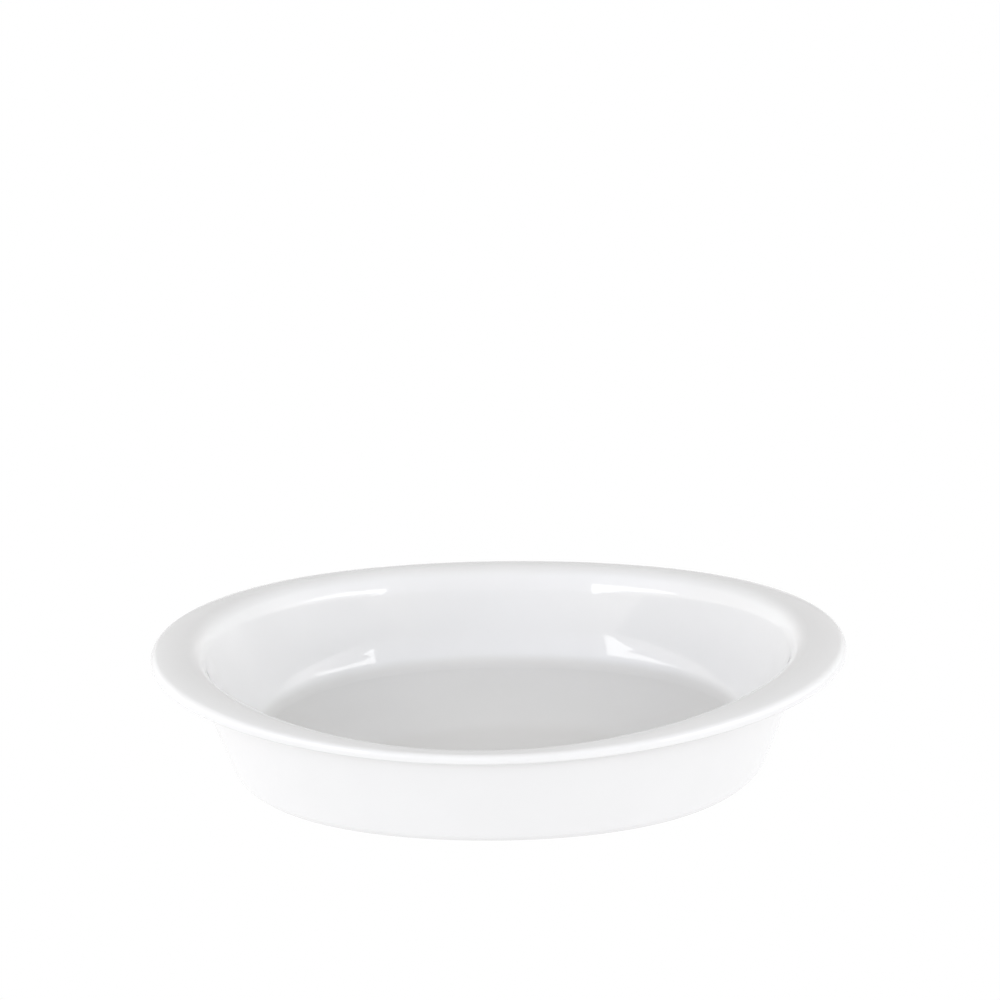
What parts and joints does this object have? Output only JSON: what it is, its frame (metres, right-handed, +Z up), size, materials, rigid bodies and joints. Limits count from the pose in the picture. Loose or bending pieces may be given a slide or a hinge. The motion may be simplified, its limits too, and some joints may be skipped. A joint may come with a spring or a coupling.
{
  "type": "gratin dish",
  "caption": "Shallow oval gratin dish in white glazed porcelain, with sloping walls and a rolled rim that rises and widens into a grip at each end.",
  "frame": {"origin": "on the surface that the dish stands on, under the middle of the dish", "axes": "+X along the long side of the oval, +Y across it, +Z up"},
  "size_m": [0.33, 0.246, 0.059],
  "materials": {
    "porcelain": "matte, bare fired porcelain",
    "glaze": "gloss"
  },
  "bodies": {
    "root": {"porcelain_body": "porcelain", "glaze_coat": "glaze", "recess_glaze": "glaze"}
  },
  "joints": []
}
